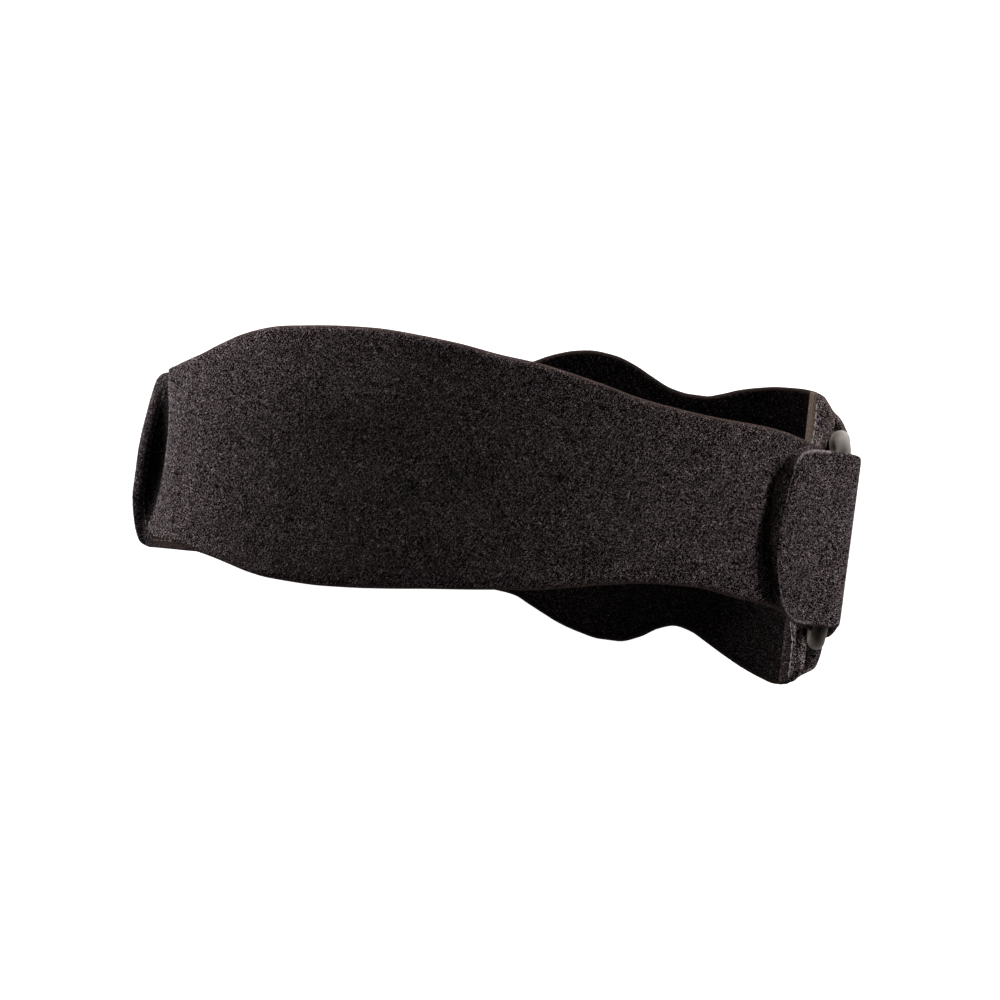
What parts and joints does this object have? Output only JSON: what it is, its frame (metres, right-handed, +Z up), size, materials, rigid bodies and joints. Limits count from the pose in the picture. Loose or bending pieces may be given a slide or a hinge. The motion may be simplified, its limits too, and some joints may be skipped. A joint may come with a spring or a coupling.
{
  "type": "patella strap",
  "caption": "Closed knee strap of foam fabric: a wide front band pulled through a slot ring and folded back as a tab, with a lobed tendon pad behind and an open leg loop.",
  "frame": {"origin": "middle of the strap's box at the height of the base, with the strap lying on its tendon pad", "axes": "+X along the loop's long direction towards the slot ring, +Y along the axis of the leg opening, +Z up from the tendon pad to the front band"},
  "size_m": [0.1584, 0.07, 0.051],
  "materials": {
    "band_fabric": "brushed loop face on foam, near black with fine grey fibre",
    "pad_fabric": "brushed loop face on foam, near black",
    "keeper_fabric": "brushed loop face on foam, near black with a row of pale stitches",
    "ring_plastic": "satin moulded plastic, dark grey"
  },
  "bodies": {
    "root": {"main_band": "band_fabric", "tendon_pad": "pad_fabric", "ring_keeper": "keeper_fabric", "slot_ring": "ring_plastic"}
  },
  "joints": []
}
